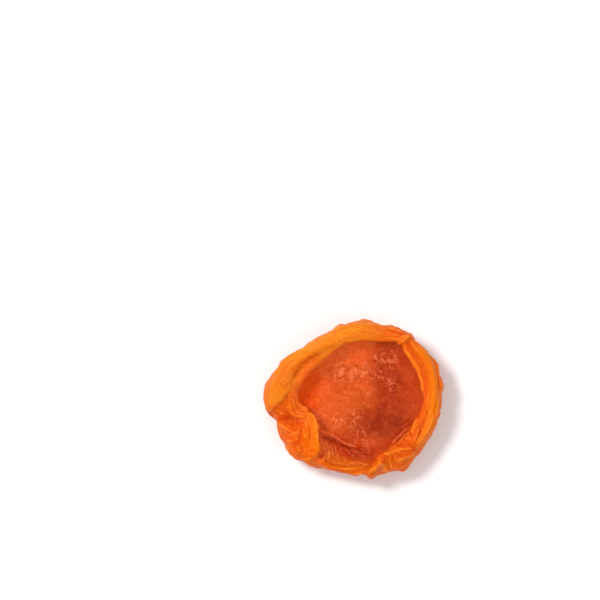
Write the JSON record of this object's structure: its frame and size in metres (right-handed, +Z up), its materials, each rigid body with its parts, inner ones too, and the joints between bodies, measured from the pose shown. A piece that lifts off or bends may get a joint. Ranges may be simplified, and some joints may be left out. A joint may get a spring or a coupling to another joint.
{
  "type": "dried apricot half",
  "caption": "Stoned apricot half, dried, lying on its skin with the stone hollow up and its rim curled and folded in.",
  "frame": {"origin": "under the middle of the half's box, on the surface it lies on", "axes": "+X along the half's length, away from the broad rolled band, +Z up out of the stone hollow"},
  "size_m": [0.045, 0.0398, 0.0134],
  "materials": {
    "flesh": "wrinkled, slightly sticky, satin, translucent at the rim"
  },
  "bodies": {
    "root": {"apricot_half": "flesh"}
  },
  "joints": []
}
